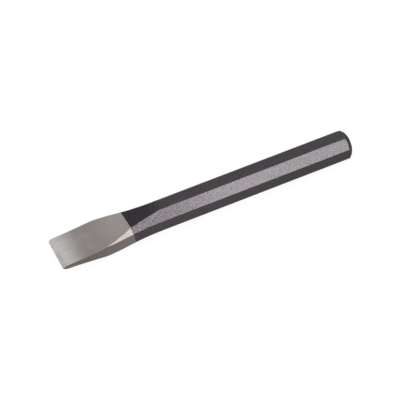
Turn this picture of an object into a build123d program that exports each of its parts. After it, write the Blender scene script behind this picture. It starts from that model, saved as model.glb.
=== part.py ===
"""Cold chisel: one steel forging, drawn from octagonal bar, with a thin lacquer coat.

Everything is modelled with the cutting edge at x = 0 and the bar's axis along +X,
then moved so that the origin is halfway along, on the facet that the chisel lies on.
"""

from build123d import *
import math
import os

# Overall size, in millimetres.
overall_length = 205.0
across_flats = 19.0
edge_width = 25.9

# Cutting edge: a narrow land with a short, steep bevel on each side.
edge_land = 0.2
bevel_length = 2.4
bevel_angle = 30.0

# Blade: a slim wedge from the bevel to the plain bar. The first stretch is ground
# bright and slightly hollow, and the forged stretch behind it is nearly flat.
blade_length = 70.0
ground_length = 49.3
ground_thickness = 14.45
ground_hollow = 0.78
forged_hollow = 0.15

# The blade's sides start parallel, round the shoulder and sweep in to the bar.
shoulder_radius = 140.0
flare_radius = 170.0

# Struck end: a cone takes off the bar's corners and rolls over into a flat round face.
striking_face_diameter = 7.8
striking_face_roll = 6.0
head_cone_angle = 45.0

# Lacquer over everything behind the ground blade. It ends in one plane, which leans
# towards the cutting edge by these angles on the +Y side and on the upper side.
coating_thickness = 0.15
coat_slant_plan = 3.0
coat_slant_rise = 3.4

# How far the shaping tools run past the piece that they cut.
spare = 1.0


def bar_half(depth):
    """Half the distance across flats, at a depth below the finished surface."""
    return across_flats / 2 - depth


def facet_half(depth):
    """Half the width of one facet of the regular octagon."""
    return bar_half(depth) * math.tan(math.pi / 8)


def hollow_arc(start, end, dip):
    """An arc that dips towards the axis by a given depth below its straight chord."""
    chord = end - start
    inwards = Vector(chord.Y, -chord.X).normalized()
    return ThreePointArc(start, start + chord / 2 + inwards * dip, end)


def side_outline(depth):
    """Upper half of the side view: height above the axis, from edge to head."""
    edge = Vector(0, edge_land / 2)
    bevel_rise = bevel_length * math.tan(math.radians(bevel_angle))
    bevel_end = edge + Vector(bevel_length, bevel_rise - depth)
    ground_end = Vector(ground_length, ground_thickness / 2 - depth)
    bar_start = Vector(blade_length, bar_half(depth))
    bar_end = Vector(overall_length + spare, bar_half(depth))
    return [
        Line(edge, bevel_end),
        hollow_arc(bevel_end, ground_end, ground_hollow),
        hollow_arc(ground_end, bar_start, forged_hollow),
        Line(bar_start, bar_end),
    ]


def plan_outline(depth):
    """One side of the plan view: half-width, from beyond the edge to beyond the head.

    The rounded shoulder and the sweep are two arcs that bend opposite ways and meet
    where the line between their centres crosses them.
    """
    half_width = edge_width / 2 - depth
    bar_start = Vector(blade_length, bar_half(depth))
    shoulder_arc = shoulder_radius - depth
    flare_arc = flare_radius + depth
    between_centres = shoulder_arc + flare_arc
    drop = between_centres - (half_width - bar_start.Y)
    turn = math.acos(drop / between_centres)
    shoulder = Vector(blade_length - between_centres * math.sin(turn), half_width)
    shoulder_centre = shoulder - Vector(0, shoulder_arc)
    flare_centre = bar_start + Vector(0, flare_arc)

    def towards_head(angle):
        return Vector(math.sin(angle), math.cos(angle))

    meeting = shoulder_centre + towards_head(turn) * shoulder_arc
    shoulder_middle = shoulder_centre + towards_head(turn / 2) * shoulder_arc
    flare_middle = flare_centre - towards_head(turn / 2) * flare_arc
    return [
        Line(Vector(-spare, half_width), shoulder),
        ThreePointArc(shoulder, shoulder_middle, meeting),
        ThreePointArc(meeting, flare_middle, bar_start),
        Line(bar_start, Vector(overall_length + spare, bar_half(depth))),
    ]


def mirrored_face(outline):
    """The face between an outline and its mirror image across the x axis."""
    other_side = [mirror(edge, about=Plane.XZ) for edge in outline]
    start, end = outline[0] @ 0, outline[-1] @ 1
    ends = [Line((p.X, -p.Y), (p.X, p.Y)) for p in (start, end)]
    return make_face(outline + other_side + ends)


def corner_cutter(depth):
    """Everything outside the 45 degree facet on the +Y, +Z corner, along the whole piece.

    The plan outline slides inwards as fast as it rises, so the facet keeps its angle
    and follows the flare.
    """
    outline = [Pos(Y=spare) * edge for edge in plan_outline(depth)]
    start, end = outline[0] @ 0, outline[-1] @ 1
    far = start.Y + across_flats
    border = Polyline((start.X, start.Y), (start.X, far), (end.X, far), (end.X, end.Y))
    outside = make_face(outline + border.edges())
    bottom = facet_half(depth) - spare
    height = bar_half(depth) + spare - bottom
    rising_inwards = Vector(0, -1, 1)
    return extrude(Pos(Z=bottom) * outside, amount=height * math.sqrt(2), dir=rising_inwards)


def head_envelope(depth):
    """A long pencil that ends in the head's cone, its roll and the flat striking face."""
    angle = math.radians(head_cone_angle)
    roll = striking_face_roll - depth
    face_radius = striking_face_diameter / 2
    roll_centre = Vector(overall_length - striking_face_roll, face_radius)
    face_edge = roll_centre + Vector(roll, 0)
    roll_middle = roll_centre + Vector(1, 0).rotate(Axis.Z, 45 - head_cone_angle / 2) * roll
    cone_start = roll_centre + Vector(math.sin(angle), math.cos(angle)) * roll
    widest = across_flats
    cone_run = (widest - cone_start.Y) / math.tan(angle)
    cone_end = Vector(cone_start.X - cone_run, widest)
    border = Polyline(cone_end, (-spare, widest), (-spare, 0), (face_edge.X, 0), face_edge)
    rolled_edge = ThreePointArc(face_edge, roll_middle, cone_start)
    section = make_face([rolled_edge, Line(cone_start, cone_end)] + border.edges())
    return revolve(section, axis=Axis.X)


def forging(depth):
    """The whole outer shape, taken in by a depth below the finished surface."""
    plan = extrude(mirrored_face(plan_outline(depth)), amount=across_flats, both=True)
    side = extrude(Plane.XZ * mirrored_face(side_outline(depth)), amount=edge_width, both=True)
    shape = plan & side
    cutter = corner_cutter(depth)
    for corner in (cutter, mirror(cutter, about=Plane.XZ)):
        shape -= corner
        shape -= mirror(corner, about=Plane.XY)
    return shape & head_envelope(depth)


def coated_zone():
    """A block around everything behind the slanted end of the lacquer."""
    plan_slope = math.tan(math.radians(coat_slant_plan))
    rise_slope = math.tan(math.radians(coat_slant_rise))
    coat_end = Plane(origin=(ground_length, 0, 0), z_dir=(1, plan_slope, rise_slope))
    side = 2 * (edge_width + across_flats)
    return coat_end * Pos(Z=overall_length / 2) * Box(side, side, overall_length)


def make_forged_body(finished, core):
    """Blade at its finished size; shank and head one coat smaller."""
    return (finished - coated_zone()) + (core & coated_zone())


def make_shank_coating(finished, core):
    """The lacquer shell, open at the blade and closed over the striking face."""
    return (finished & coated_zone()) - core


def export(name, shape):
    """Put the origin halfway along, on the lowest facet, and write the piece."""
    placed = Pos(-overall_length / 2, 0, across_flats / 2) * shape
    placed.label = name
    export_step(placed, f"parts/{name}.step")
    print(name, round(placed.volume, 1), placed.bounding_box())


os.makedirs("parts", exist_ok=True)
finished_shape = forging(0)
core_shape = forging(coating_thickness)
export("forged_body", make_forged_body(finished_shape, core_shape))
export("shank_coating", make_shank_coating(finished_shape, core_shape))
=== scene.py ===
import bpy
import math
import numpy as np
from mathutils import Matrix, Vector, noise


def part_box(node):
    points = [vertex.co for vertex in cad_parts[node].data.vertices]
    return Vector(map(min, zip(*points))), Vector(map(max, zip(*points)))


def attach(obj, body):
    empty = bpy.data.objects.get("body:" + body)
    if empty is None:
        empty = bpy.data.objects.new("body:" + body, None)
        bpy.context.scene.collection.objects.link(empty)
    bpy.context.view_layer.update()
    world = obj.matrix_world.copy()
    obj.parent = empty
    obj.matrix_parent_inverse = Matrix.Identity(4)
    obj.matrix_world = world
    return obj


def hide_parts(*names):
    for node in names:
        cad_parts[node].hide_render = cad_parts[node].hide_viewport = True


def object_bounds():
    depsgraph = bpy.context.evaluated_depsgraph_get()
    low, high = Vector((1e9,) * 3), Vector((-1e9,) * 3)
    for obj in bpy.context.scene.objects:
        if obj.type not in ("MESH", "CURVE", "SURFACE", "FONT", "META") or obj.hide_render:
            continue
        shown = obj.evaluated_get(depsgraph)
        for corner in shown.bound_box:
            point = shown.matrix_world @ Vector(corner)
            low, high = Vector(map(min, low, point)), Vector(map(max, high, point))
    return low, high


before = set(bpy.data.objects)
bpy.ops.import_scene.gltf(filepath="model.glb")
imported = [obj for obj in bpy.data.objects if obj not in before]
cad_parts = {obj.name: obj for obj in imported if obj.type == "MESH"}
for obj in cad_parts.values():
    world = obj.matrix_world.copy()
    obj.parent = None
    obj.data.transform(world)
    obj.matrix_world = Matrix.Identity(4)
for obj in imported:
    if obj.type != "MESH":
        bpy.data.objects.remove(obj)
cad_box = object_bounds()

MM = 0.001
BODY = "root"

# ---------------------------------------------------------------------------
# Sizes in millimetres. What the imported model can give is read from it.
# The chisel is built with its cutting edge at x = 0 and its axis along +X.
# ---------------------------------------------------------------------------
steel_low, steel_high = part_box("forged_body")
coat_low, coat_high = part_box("shank_coating")
overall_length = (coat_high.x - steel_low.x) / MM
across_flats = (coat_high.z - coat_low.z) / MM
edge_width = (steel_high.y - steel_low.y) / MM
coating_thickness = (coat_high.z - steel_high.z) / MM

# Blade.
edge_land = 0.2
bevel_length = 2.4
bevel_angle = math.radians(30)
blade_length = 70.0
ground_length = 49.3
ground_thickness = 14.45
ground_hollow = 0.78
forged_hollow = 0.15
shoulder_radius = 140.0
flare_radius = 170.0

# Struck end. Its cone and roll lie within the head's length.
face_radius = 3.9
face_roll = 6.0
cone_slope = 1.0
head_length = 8.0

# The coat ends in one plane, which leans towards the edge on the far and upper sides.
# The rings around it lean less and less, out to this distance from it.
plan_slope = math.tan(math.radians(3.0))
rise_slope = math.tan(math.radians(3.4))
slant_reach = 12.0
slant_margin = 2.0
slant_step = 0.1

# Softening of edges that a drawn and forged bar really has.
bar_corner_radius = 0.55
ground_corner_radius = 0.16
largest_rounding = 0.8
cutting_corner_radius = 0.9
root_blend = 0.10
head_blend = 0.40
lip_rounding = 0.05

# The corner facet on the ground blade is cut less deep than the bar's, by this much
# from this far in front of the coat.
ground_facet_rise = 0.15
ground_facet_reach = 20.0

# How square each facet's end is at the head, and how far from the struck face that fades.
facet_end_squareness = 0.3
squareness_fade = 4.0

# Unevenness, one row for each layer: its height, its pitch across the bar, how many times
# longer it is along the bar, and its place in the noise. The steel's fades at the bevel.
STEEL_UNEVENNESS = [(0.03, 7.0, 2.5, 3.1), (0.008, 1.6, 6.0, 11.7)]
COAT_UNEVENNESS = [(0.05, 8.0, 2.5, 5.3), (0.02, 1.7, 1.2, 9.9)]
bevel_fade = 4.0

# Steps in a quarter section: half the side, each rounded corner, the facet and half the
# broad face.
STEEL_COUNTS = (6, 4, 10, 34)
COAT_COUNTS = (12, 4, 20, 20)
EDGE_CROWDING = 0.6
ROLL_STATIONS = 14

OCTAGON = math.tan(math.pi / 8)


# ---------------------------------------------------------------------------
# Shape
# ---------------------------------------------------------------------------
def soft_min(a, b, blend):
    """The smaller of two arrays, rounded off where they cross."""
    mix = np.clip(0.5 + 0.5 * (b - a) / blend, 0, 1)
    return b * (1 - mix) + a * mix - blend * mix * (1 - mix)


def half_thickness(x):
    """Height of the broad face above the axis."""
    bevel_half = edge_land / 2 + bevel_length * math.tan(bevel_angle)
    ground_half = ground_thickness / 2
    bar_half = across_flats / 2
    bevel = edge_land / 2 + x * math.tan(bevel_angle)
    u = (x - bevel_length) / (ground_length - bevel_length)
    ground = bevel_half + u * (ground_half - bevel_half) - ground_hollow * 4 * u * (1 - u)
    v = (x - ground_length) / (blade_length - ground_length)
    forged = ground_half + v * (bar_half - ground_half) - forged_hollow * 4 * v * (1 - v)
    wedge = np.where(x < bevel_length, bevel, np.where(x < ground_length, ground, forged))
    return soft_min(wedge, np.full_like(x, bar_half), root_blend)


def half_width(x):
    """Half-width of the blade and bar in plan: parallel, shoulder arc, sweep arc, bar."""
    bar_half = across_flats / 2
    edge_half = edge_width / 2
    between_centres = shoulder_radius + flare_radius
    turn = math.acos((between_centres - edge_half + bar_half) / between_centres)
    shoulder_x = blade_length - between_centres * math.sin(turn)
    meeting_x = shoulder_x + shoulder_radius * math.sin(turn)
    past_shoulder = np.clip(x - shoulder_x, 0, shoulder_radius)
    shoulder = edge_half - shoulder_radius + np.sqrt(shoulder_radius**2 - past_shoulder**2)
    to_bar = np.clip(blade_length - x, 0, flare_radius)
    sweep = bar_half + flare_radius - np.sqrt(flare_radius**2 - to_bar**2)
    width = np.where(x < meeting_x, shoulder, sweep)
    short = np.clip(cutting_corner_radius - x, 0, cutting_corner_radius)
    corner = cutting_corner_radius - np.sqrt(cutting_corner_radius**2 - short**2)
    return width - corner


def head_radius(x):
    """Radius of the struck end: flat face, roll, then cone."""
    roll_x = overall_length - face_roll
    cone_x = roll_x + face_roll * math.sin(math.pi / 4)
    cone_r = face_radius + face_roll * math.cos(math.pi / 4)
    rolled = face_radius + np.sqrt(np.clip(face_roll**2 - (x - roll_x) ** 2, 0, None))
    return np.where(x > cone_x, rolled, cone_r + (cone_x - x) * cone_slope)


def crowded(count):
    """0 to 1 in steps that get shorter towards both ends, where the edges are."""
    t = np.linspace(0, 1, count + 1)
    return (1 - EDGE_CROWDING) * t + EDGE_CROWDING * (1 - np.cos(np.pi * t)) / 2


def quadrant(x, depth, corner_radius, counts):
    """Section points from the middle of the side to the middle of the broad face."""
    side_count, corner_count, facet_count, broad_count = counts
    w = half_width(x) - depth
    h = half_thickness(x) - depth
    facet_half = (across_flats / 2 - depth) * OCTAGON
    before_coat = np.clip((ground_length - x) / ground_facet_reach, 0, 1)
    facet_half = facet_half + ground_facet_rise * before_coat
    r = np.minimum(corner_radius, largest_rounding * np.minimum(h, w))
    w_in, h_in = w - r, h - r
    diagonal_in = np.minimum(w + facet_half - r * math.sqrt(2), w_in + h_in)
    low = np.stack([w_in, diagonal_in - w_in], -1)
    high = np.stack([diagonal_in - h_in, h_in], -1)
    low[:, 1] = np.maximum(low[:, 1], 0)
    points = []

    def arc(centre, start, stop):
        for angle in np.linspace(start, stop, corner_count + 1):
            out = np.array([math.cos(angle), math.sin(angle)])
            points.append(centre + r[:, None] * out)

    side_end = low + r[:, None] * np.array([1.0, 0.0])
    for t in crowded(side_count)[:-1]:
        points.append(side_end * np.array([1.0, t]))
    arc(low, 0, math.pi / 4)
    facet_start = points[-1]
    diagonal = np.array([math.cos(math.pi / 4), math.sin(math.pi / 4)])
    facet_end = high + r[:, None] * diagonal
    for t in crowded(facet_count)[1:-1]:
        points.append(facet_start * (1 - t) + facet_end * t)
    arc(high, math.pi / 4, math.pi / 2)
    broad_start = points[-1]
    for t in crowded(broad_count)[1:]:
        points.append(broad_start * np.array([1 - t, 1.0]))
    return np.stack(points, 1)


def sections(x, depth, corner_radius, counts):
    """Closed rings (station, point, xyz), counter-clockwise seen from the head."""
    first = quadrant(x, depth, corner_radius, counts)
    second = first[:, ::-1][:, 1:] * np.array([-1.0, 1.0])
    upper = np.concatenate([first, second], 1)
    lower = (upper * np.array([-1.0, -1.0]))[:, 1:-1]
    ring = np.concatenate([upper, lower], 1)
    radius = np.hypot(ring[..., 0], ring[..., 1])
    # Each facet ends in its own straight chamfer, which turns round towards the face.
    around = np.arctan2(ring[..., 1], ring[..., 0])
    off_facet = (around + math.pi / 8) % (math.pi / 4) - math.pi / 8
    head = (head_radius(x + depth) - depth)[:, None]
    squareness = np.clip((head - face_radius) / squareness_fade, 0, 1) * facet_end_squareness
    limit = head / np.cos(off_facet) ** squareness
    clipped = soft_min(radius, limit, head_blend)
    in_head = x[:, None] > overall_length - head_length
    ring = ring * (np.where(in_head, clipped, radius) / radius)[..., None]
    stations = np.broadcast_to(x[:, None, None], ring.shape[:2] + (1,))
    return np.concatenate([stations, ring], -1)


def slanted(x, depth, corner_radius, counts):
    """Sections that lean by and by, until the one at the coat's end lies in its plane.

    Each point slides along the surface, so the shape stays as it is.
    """
    rings = sections(x, depth, corner_radius, counts)
    lean = np.clip(1 - np.abs(x - ground_length) / slant_reach, 0, 1)
    leaning = lean > 0
    sampled = slant_reach + slant_margin
    fine_x = ground_length + np.arange(-sampled, sampled, slant_step)
    fine = sections(fine_x, depth, corner_radius, counts)
    shift = (rings[..., 1] * plan_slope + rings[..., 2] * rise_slope) * lean[:, None]
    rings[..., 0] -= shift
    for j in range(rings.shape[1]):
        for axis in (1, 2):
            rings[leaning, j, axis] = np.interp(rings[leaning, j, 0], fine_x, fine[:, j, axis])
    return rings


def blade_stations():
    """Stations of the ground blade: close together at the bevel, then even."""
    return np.concatenate([
        np.linspace(0, 0.3, 4),
        np.linspace(0.5, bevel_length, 8),
        bevel_length + np.array([0.12, 0.3, 0.6]),
        np.arange(3.5, ground_length - 0.2, 0.5),
        [ground_length],
    ])


def roll_stations(depth):
    """Stations round the rolled edge of the struck face, out to the face itself."""
    roll = face_roll - depth
    turns = np.linspace(math.pi / 4, 0, ROLL_STATIONS)
    return overall_length - face_roll + roll * np.cos(turns)


def core_stations():
    """Stations of the core, which the coat's inside shares."""
    return np.concatenate([
        [ground_length],
        np.arange(ground_length + 1, overall_length - head_length, 2.0),
        np.linspace(overall_length - 7.5, overall_length - face_roll * 0.32, 10),
        roll_stations(coating_thickness),
    ])


def coat_stations():
    """Stations of the coat's outside, close enough together to carry its unevenness."""
    return np.concatenate([
        ground_length + np.array([0.0, 0.05, 0.12, 0.25]),
        np.arange(ground_length + 0.55, overall_length - 7, 0.55),
        np.linspace(overall_length - 6.9, overall_length - face_roll * 0.30, 22),
        roll_stations(0),
    ])


def face_rings(last_ring, steps):
    """Rings that close the flat striking face towards its middle."""
    centre = last_ring.mean(0)
    return [centre + (last_ring - centre) * s for s in np.linspace(1, 0, steps + 1)[1:-1]]


def roughen(points, normals, layers, share=1.0):
    """Sinks points into the surface by layers of smooth noise, never out of it.

    The share of each layer's height is one number, or one for each point.
    """
    for height, pitch, stretch, seed in layers:
        depth = np.empty(len(points))
        for i, p in enumerate(points):
            at = Vector((p[0] / (pitch * stretch) + seed, p[1] / pitch, p[2] / pitch))
            depth[i] = (1 - noise.noise(at)) / 2
        points = points - normals * (np.clip(depth, 0, 1) * (height * share))[:, None]
    return points


def ring_faces(ring_count, size):
    """Quads between consecutive rings of the same size."""
    faces = []
    for i in range(ring_count - 1):
        a, b = i * size, (i + 1) * size
        for j in range(size):
            k = (j + 1) % size
            faces.append((a + j, a + k, b + k, b + j))
    return faces


def tube_mesh(rings, open_start=False):
    """Vertices and faces of a tube from rings, with a fan at each end that is closed."""
    size = len(rings[0])
    points = np.concatenate(rings)
    faces = ring_faces(len(rings), size)
    if not open_start:
        centre = len(points)
        points = np.concatenate([points, [rings[0].mean(0)]])
        faces += [(centre, (j + 1) % size, j) for j in range(size)]
    centre = len(points)
    last = (len(rings) - 1) * size
    points = np.concatenate([points, [rings[-1].mean(0)]])
    faces += [(centre, last + j, last + (j + 1) % size) for j in range(size)]
    return points, faces


def to_row_frame(points):
    """Millimetres from the cutting edge and axis to metres in the row frame."""
    origin = np.array([steel_low.x / MM, 0, coat_low.z / MM + across_flats / 2])
    return (points + origin) * MM


def make_object(name, points, faces):
    mesh = bpy.data.meshes.new(name)
    mesh.from_pydata(to_row_frame(points).tolist(), [], faces)
    mesh.validate()
    mesh.polygons.foreach_set("use_smooth", [True] * len(mesh.polygons))
    obj = bpy.data.objects.new(name, mesh)
    bpy.context.scene.collection.objects.link(obj)
    return obj


def vertex_normals(points, faces):
    mesh = bpy.data.meshes.new("scratch")
    mesh.from_pydata(points.tolist(), [], faces)
    mesh.update()
    found = np.zeros(len(points) * 3)
    mesh.vertices.foreach_get("normal", found)
    bpy.data.meshes.remove(mesh)
    return found.reshape(-1, 3)


def steel_body():
    """The ground blade at its finished size, stepping down to the core under the coat."""
    blade = slanted(blade_stations(), 0, ground_corner_radius, STEEL_COUNTS)
    core = slanted(core_stations(), coating_thickness, bar_corner_radius, STEEL_COUNTS)
    rings = list(blade) + list(core)
    rings += face_rings(rings[-1], 3)
    points, faces = tube_mesh(rings)
    normals = vertex_normals(points, faces)
    # The last ring of the blade stays level with the coat's lip.
    ground = slice(0, (len(blade) - 1) * len(blade[0]))
    # The unevenness fades out towards the bevel, so the line between them is clean.
    share = np.clip((points[ground, 0] - bevel_length) / bevel_fade, 0, 1)
    points[ground] = roughen(points[ground], normals[ground], STEEL_UNEVENNESS, share)
    return make_object("ground_blade_and_core", points, faces)


def coat_shell():
    """The lacquer: an outer skin with the forging's unevenness, a lip and an inner skin."""
    outer = slanted(coat_stations(), 0, bar_corner_radius, COAT_COUNTS)
    on_axis = outer[0] * np.array([1, 0, 0])
    outwards = outer[0] - on_axis
    tucked = 1 - lip_rounding / np.linalg.norm(outwards, axis=1)
    outer[0] = on_axis + outwards * tucked[:, None]
    outer_rings = list(outer) + face_rings(outer[-1], 5)
    points, faces = tube_mesh(outer_rings, open_start=True)
    normals = vertex_normals(points, faces)
    # The first ring is the lip, which stays level with the blade.
    size = len(outer[0])
    points[size:] = roughen(points[size:], normals[size:], COAT_UNEVENNESS)

    inner = slanted(core_stations(), coating_thickness, bar_corner_radius, COAT_COUNTS)
    inner_rings = list(inner) + face_rings(inner[-1], 3)
    inner_points, inner_faces = tube_mesh(inner_rings, open_start=True)
    start = len(points)
    faces += [tuple(start + i for i in reversed(face)) for face in inner_faces]
    for j in range(size):
        k = (j + 1) % size
        faces.append((j, start + j, start + k, k))
    return make_object("lacquer_coat", np.concatenate([points, inner_points]), faces)


# ---------------------------------------------------------------------------
# Materials
# ---------------------------------------------------------------------------
class Tree:
    """A small helper that adds nodes to a material or world and links them."""

    def __init__(self, tree):
        self.tree = tree

    def add(self, kind, **settings):
        node = self.tree.nodes.new(kind)
        for key, value in settings.items():
            setattr(node, key, value)
        return node

    def link(self, source, target):
        self.tree.links.new(source, target)

    def put(self, socket, value):
        """Gives an input a number, a colour or another node's output."""
        if isinstance(value, tuple):
            socket.default_value = (*value, 1)
        elif isinstance(value, (int, float)):
            socket.default_value = value
        else:
            self.link(value, socket)

    def math(self, operation, a, b=0.0, clamp=False):
        node = self.add("ShaderNodeMath", operation=operation, use_clamp=clamp)
        self.put(node.inputs[0], a)
        self.put(node.inputs[1], b)
        return node.outputs[0]

    def one_minus(self, value):
        return self.math("SUBTRACT", 1.0, value)

    def coordinate(self, kind, axis):
        """One axis of the object's own position, its normal or the world's direction."""
        place = self.add("ShaderNodeTexCoord")
        split = self.add("ShaderNodeSeparateXYZ")
        self.link(place.outputs[kind], split.inputs[0])
        return split.outputs[axis]

    def noise(self, scale, detail, rough):
        """Noise with its own scale, per metre, along each axis."""
        place = self.add("ShaderNodeTexCoord")
        mapping = self.add("ShaderNodeMapping")
        mapping.inputs["Scale"].default_value = scale
        self.link(place.outputs["Object"], mapping.inputs["Vector"])
        node = self.add("ShaderNodeTexNoise")
        node.inputs["Scale"].default_value = 1.0
        node.inputs["Detail"].default_value = detail
        node.inputs["Roughness"].default_value = rough
        self.link(mapping.outputs["Vector"], node.inputs["Vector"])
        return node.outputs["Fac"]

    def along(self, start, stop):
        """0 to 1 between two distances from the cutting edge, in millimetres."""
        spread = self.add("ShaderNodeMapRange", interpolation_type="SMOOTHSTEP")
        self.link(self.coordinate("Object", "X"), spread.inputs["Value"])
        spread.inputs["From Min"].default_value = steel_low.x + start * MM
        spread.inputs["From Max"].default_value = steel_low.x + stop * MM
        return spread.outputs["Result"]

    def broadness(self):
        """0 on the narrow sides to 1 on the broad faces, bevels and ends."""
        return self.one_minus(self.math("ABSOLUTE", self.coordinate("Normal", "Y")))

    def ramp(self, value, stops):
        node = self.add("ShaderNodeValToRGB")
        elements = node.color_ramp.elements
        while len(elements) < len(stops):
            elements.new(0.5)
        for element, (position, colour) in zip(elements, stops):
            element.position = position
            element.color = (*colour, 1)
        self.link(value, node.inputs[0])
        return node.outputs["Color"]

    def blend(self, factor, a, b, mode="MIX"):
        node = self.add("ShaderNodeMix", data_type="RGBA", blend_type=mode)
        self.put(node.inputs[0], factor)
        self.put(node.inputs[6], a)
        self.put(node.inputs[7], b)
        return node.outputs[2]

    def span(self, value, low, high):
        """Spreads a 0 to 1 value between two numbers."""
        node = self.add("ShaderNodeMapRange")
        self.link(value, node.inputs["Value"])
        node.inputs["To Min"].default_value = low
        node.inputs["To Max"].default_value = high
        return node.outputs["Result"]

    def bump(self, height, strength, distance, below=None):
        """A bump of a height in metres, laid over another one if that is given."""
        node = self.add("ShaderNodeBump")
        self.put(node.inputs["Strength"], strength)
        node.inputs["Distance"].default_value = distance
        self.link(height, node.inputs["Height"])
        if below is not None:
            self.link(below, node.inputs["Normal"])
        return node.outputs["Normal"]


def new_material(name):
    material = bpy.data.materials.new(name)
    material.use_nodes = True
    tree = Tree(material.node_tree)
    return material, tree, material.node_tree.nodes["Principled BSDF"]


# Ground steel, as reflected colours. The first one varies in soft clouds. The ones by the coat
# and by the edge are painted reflection: they make the blade lighter towards the coat and by
# the cutting edge.
STEEL_CLOUDS = [(0.3, (0.462, 0.430, 0.410)), (0.7, (0.560, 0.500, 0.482))]
STEEL_PAINTED_SHEEN_BY_COAT = (0.615, 0.568, 0.546)
STEEL_PAINTED_SHEEN_BY_EDGE = (0.98, 0.95, 0.94)
STEEL_IN_LINES = (0.28, 0.26, 0.25)
# Painted light and shade by the way a face is turned: sides, corner facets, then broad faces.
PAINTED_SHADE_BY_FACING = [
    (0.0, (1.09, 1.025, 1.0)),
    (0.29, (1.56, 1.48, 1.46)),
    (0.5, (0.97, 0.94, 0.92)),
    (0.9, (1.0, 1.0, 1.0)),
]


def ground_steel():
    """Belt-ground steel with fine lengthwise lines, and painted reflection: lighter by the
    cutting edge and towards the coat, and lighter or darker by the way each face is turned.
    """
    material, tree, shader = new_material("ground_steel")
    lines = tree.noise((110, 1900, 1900), 4, 0.6)
    scratches = tree.noise((60, 900, 900), 3, 0.6)
    fine_lines = tree.noise((300, 7000, 7000), 2, 0.5)
    clouds = tree.noise((90, 120, 120), 3, 0.55)

    broadness = tree.broadness()
    broad_only = tree.math("POWER", broadness, 2.0)
    # Painted reflection: the broad faces lighter by the cutting edge, and the steel lighter
    # towards the coat.
    painted_edge_sheen = tree.math("MULTIPLY", tree.one_minus(tree.along(3, 19)), broad_only)
    uneven_edge_sheen = tree.math("MULTIPLY", painted_edge_sheen, tree.span(scratches, 0.35, 1.35), clamp=True)
    dull = tree.ramp(clouds, STEEL_CLOUDS)
    painted_sheen_to_coat = tree.blend(tree.along(22, 46), dull, STEEL_PAINTED_SHEEN_BY_COAT)
    painted_sheen_to_edge = tree.blend(uneven_edge_sheen, painted_sheen_to_coat, STEEL_PAINTED_SHEEN_BY_EDGE)
    # Painted light and shade: each face is made lighter or darker by the way it is turned.
    painted_facing_shade = tree.ramp(broadness, PAINTED_SHADE_BY_FACING)
    finished = tree.blend(1.0, painted_sheen_to_edge, painted_facing_shade, "MULTIPLY")
    fewer_lines = tree.math("MULTIPLY", painted_edge_sheen, 0.08)
    streaks = tree.math("SUBTRACT", tree.span(lines, -0.15, 0.50), fewer_lines, clamp=True)
    tree.link(tree.blend(streaks, finished, STEEL_IN_LINES), shader.inputs["Base Color"])

    shader.inputs["Metallic"].default_value = 1.0
    shader.inputs["Anisotropic"].default_value = 0.5
    roughness = tree.math("ADD", tree.span(lines, 0.42, 0.62), tree.span(clouds, -0.05, 0.05))
    tree.link(roughness, shader.inputs["Roughness"])
    coarse = tree.bump(lines, 0.6, 0.00006)
    tree.link(tree.bump(fine_lines, 0.3, 0.00002, coarse), shader.inputs["Normal"])
    tangent = tree.add("ShaderNodeTangent", direction_type="RADIAL", axis="X")
    tree.link(tangent.outputs[0], shader.inputs["Tangent"])
    return material


# Lacquer. The first colour varies in soft clouds.
LACQUER_CLOUDS = [(0.3, (0.030, 0.0235, 0.0275)), (0.7, (0.041, 0.032, 0.037))]
LACQUER_BY_HEAD = (0.027, 0.0238, 0.0262)
LACQUER_ON_TAPER = (0.0150, 0.0138, 0.0185)
LACQUER_IN_GRAIN = (0.009, 0.0082, 0.0098)


def shank_lacquer():
    """Gunmetal lacquer over forge scale, darker, bluer and grainier by the blade."""
    material, tree, shader = new_material("shank_lacquer")
    grain = tree.noise((1800, 1800, 1800), 2, 0.6)
    pits = tree.noise((1100, 1100, 1100), 2, 0.5)
    clouds = tree.noise((60, 150, 150), 3, 0.5)

    broad_only = tree.math("POWER", tree.broadness(), 2.0)
    on_taper = tree.math("MULTIPLY", tree.one_minus(tree.along(60, 80)), broad_only)
    warm = tree.ramp(clouds, LACQUER_CLOUDS)
    plain = tree.blend(tree.along(110, 170), warm, LACQUER_BY_HEAD)
    tone = tree.blend(on_taper, plain, LACQUER_ON_TAPER)
    speckled = tree.blend(tree.span(grain, -0.3, 0.9), tone, LACQUER_IN_GRAIN)
    tree.link(speckled, shader.inputs["Base Color"])

    shader.inputs["Metallic"].default_value = 0.0
    shader.inputs["IOR"].default_value = 1.7
    shader.inputs["Specular IOR Level"].default_value = 0.9
    shader.inputs["Specular Tint"].default_value = (1.0, 0.92, 0.98, 1)
    smoother = tree.math("MULTIPLY", on_taper, 0.03)
    roughness = tree.math("SUBTRACT", tree.span(grain, 0.22, 0.34), smoother)
    tree.link(roughness, shader.inputs["Roughness"])

    finer_by_head = tree.span(tree.along(55, 125), 1.0, 0.62)
    finer_on_taper = tree.one_minus(tree.math("MULTIPLY", on_taper, 0.5))
    strength = tree.math("MULTIPLY", finer_by_head, finer_on_taper)
    coarse = tree.bump(pits, strength, 0.00019)
    tree.link(tree.bump(grain, strength, 0.00022, coarse), shader.inputs["Normal"])
    return material


def floor_material():
    """Nearly white by its own light, so that only soft shadows show on it."""
    material, _, shader = new_material("studio_floor")
    shader.inputs["Base Color"].default_value = (0.12, 0.12, 0.12, 1)
    shader.inputs["Emission Color"].default_value = (1, 1, 1, 1)
    shader.inputs["Emission Strength"].default_value = 0.92
    shader.inputs["Roughness"].default_value = 0.9
    shader.inputs["Specular IOR Level"].default_value = 0.0
    return material


# ---------------------------------------------------------------------------
# Studio, in metres and degrees
# ---------------------------------------------------------------------------
CAMERA_LENS = 204.1
CAMERA_SENSOR = 36.0
CAMERA_AZIMUTH = -18.36
CAMERA_ELEVATION = 47.17
CAMERA_ROLL = -7.32
CAMERA_DISTANCE = 1.4468
CAMERA_SHIFT = (-0.0028, -0.0012, 0)

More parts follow.
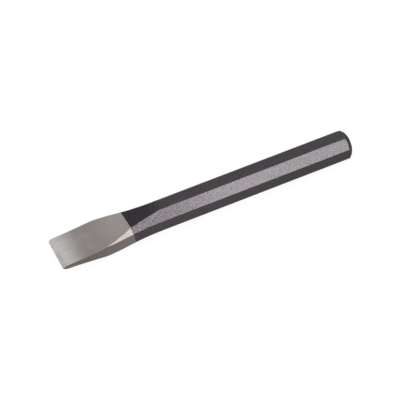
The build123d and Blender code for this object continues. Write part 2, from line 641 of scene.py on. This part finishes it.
FLOOR_HALF = 6.0
SOFTBOX_DISTANCE = 0.9

# Grey of the studio by height, from straight below to straight above.
STUDIO_GRADIENT = [
    (0.0, (0.30,) * 3),
    (0.5, (0.10,) * 3),
    (0.90, (0.04,) * 3),
    (0.96, (0.45,) * 3),
    (1.0, (1.2,) * 3),
]
# Soft round panels in the studio: direction, half-width and brightness.
STUDIO_PANELS = [
    ((0.54, 0.55, 0.64), 14, 1.0),
    ((-0.62, 0.62, 0.48), 15, 1.5),
    ((-0.64, -0.42, 0.64), 18, 0.8),
    ((0.75, 0.15, 0.65), 13, 0.8),
]
STUDIO_FILL = (0.7,) * 3
BACKDROP = (1.0, 1.0, 1.0)


def look_at(obj, target, roll=0.0):
    away = obj.location - target
    turn = away.to_track_quat("Z", "Y").to_matrix() @ Matrix.Rotation(roll, 3, "Z")
    obj.rotation_euler = turn.to_euler()


def from_angles(azimuth, elevation):
    """Unit vector from the object towards a viewer at these angles."""
    a, e = math.radians(azimuth), math.radians(elevation)
    return Vector((math.sin(a) * math.cos(e), -math.cos(a) * math.cos(e), math.sin(e)))


def make_camera(centre):
    data = bpy.data.cameras.new("camera")
    data.lens = CAMERA_LENS
    data.sensor_width = CAMERA_SENSOR
    camera = bpy.data.objects.new("camera", data)
    bpy.context.scene.collection.objects.link(camera)
    towards_camera = from_angles(CAMERA_AZIMUTH, CAMERA_ELEVATION)
    camera.location = centre + towards_camera * CAMERA_DISTANCE
    look_at(camera, centre, math.radians(CAMERA_ROLL))
    camera.location += camera.rotation_euler.to_matrix() @ Vector(CAMERA_SHIFT)
    bpy.context.scene.camera = camera


def make_floor(height):
    """A wide floor that doesn't show in reflections, which come from the studio alone."""
    half = FLOOR_HALF
    corners = [(-half, -half), (half, -half), (half, half), (-half, half)]
    mesh = bpy.data.meshes.new("floor")
    mesh.from_pydata([(x, y, height) for x, y in corners], [], [(0, 1, 2, 3)])
    floor = bpy.data.objects.new("floor", mesh)
    bpy.context.scene.collection.objects.link(floor)
    mesh.materials.append(floor_material())
    floor.visible_glossy = False
    return floor


def make_softbox(name, centre, azimuth, elevation, size, power, lit):
    """A square softbox that lights only the objects listed in lit."""
    data = bpy.data.lights.new(name, "AREA")
    data.shape = "RECTANGLE"
    data.size = data.size_y = size
    data.energy = power
    light = bpy.data.objects.new(name, data)
    bpy.context.scene.collection.objects.link(light)
    light.location = centre + from_angles(azimuth, elevation) * SOFTBOX_DISTANCE
    look_at(light, centre)
    receivers = bpy.data.collections.new(name + "_receivers")
    for obj in lit:
        receivers.objects.link(obj)
    light.light_linking.receiver_collection = receivers


def panel_glow(tree, direction, half_width_angle, strength):
    """A soft round panel of light in the studio."""
    place = tree.add("ShaderNodeTexCoord")
    dot = tree.add("ShaderNodeVectorMath", operation="DOT_PRODUCT")
    tree.link(place.outputs["Generated"], dot.inputs[0])
    dot.inputs[1].default_value = Vector(direction).normalized()
    spread = 1 - math.cos(math.radians(half_width_angle))
    below_one = tree.math("SUBTRACT", dot.outputs["Value"], 1.0)
    off_axis = tree.math("DIVIDE", below_one, spread)
    glow = tree.math("MULTIPLY", tree.math("EXPONENT", off_axis), strength)
    colour = tree.add("ShaderNodeCombineColor")
    for socket in colour.inputs:
        tree.link(glow, socket)
    return colour.outputs[0]


def make_world():
    """White to the camera, a softly graded studio in reflections, an even fill elsewhere."""
    world = bpy.data.worlds.new("studio")
    bpy.context.scene.world = world
    world.use_nodes = True
    world.node_tree.nodes.clear()
    tree = Tree(world.node_tree)
    height = tree.span(tree.coordinate("Generated", "Z"), 0.0, 1.0)
    height.node.inputs["From Min"].default_value = -1.0
    studio = tree.ramp(height, STUDIO_GRADIENT)
    for direction, half_width_angle, strength in STUDIO_PANELS:
        glow = panel_glow(tree, direction, half_width_angle, strength)
        studio = tree.blend(1.0, studio, glow, "ADD")
    path = tree.add("ShaderNodeLightPath")
    light = tree.blend(path.outputs["Is Glossy Ray"], STUDIO_FILL, studio)
    shown = tree.blend(path.outputs["Is Camera Ray"], light, BACKDROP)
    background = tree.add("ShaderNodeBackground")
    tree.link(shown, background.inputs["Color"])
    output = tree.add("ShaderNodeOutputWorld")
    tree.link(background.outputs[0], output.inputs[0])


def main():
    steel = steel_body()
    steel.data.materials.append(ground_steel())
    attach(steel, BODY)
    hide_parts("forged_body")

    coat = coat_shell()
    coat.data.materials.append(shank_lacquer())
    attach(coat, BODY)
    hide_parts("shank_coating")

    low, high = cad_box
    centre = (low + high) / 2
    bpy.context.scene.view_settings.view_transform = "Standard"
    make_camera(centre)
    floor = make_floor(low.z)
    make_world()
    # Bare steel reflects far more than the coat, so it gets wider and weaker lights.
    make_softbox("coat_key", centre, 19, 41, 0.6, 4.8, [coat])
    make_softbox("steel_back", centre, 172, 49, 0.9, 0.6, [steel])
    make_softbox("steel_key", centre, 8, 44, 0.9, 3.5, [steel, floor])


main()
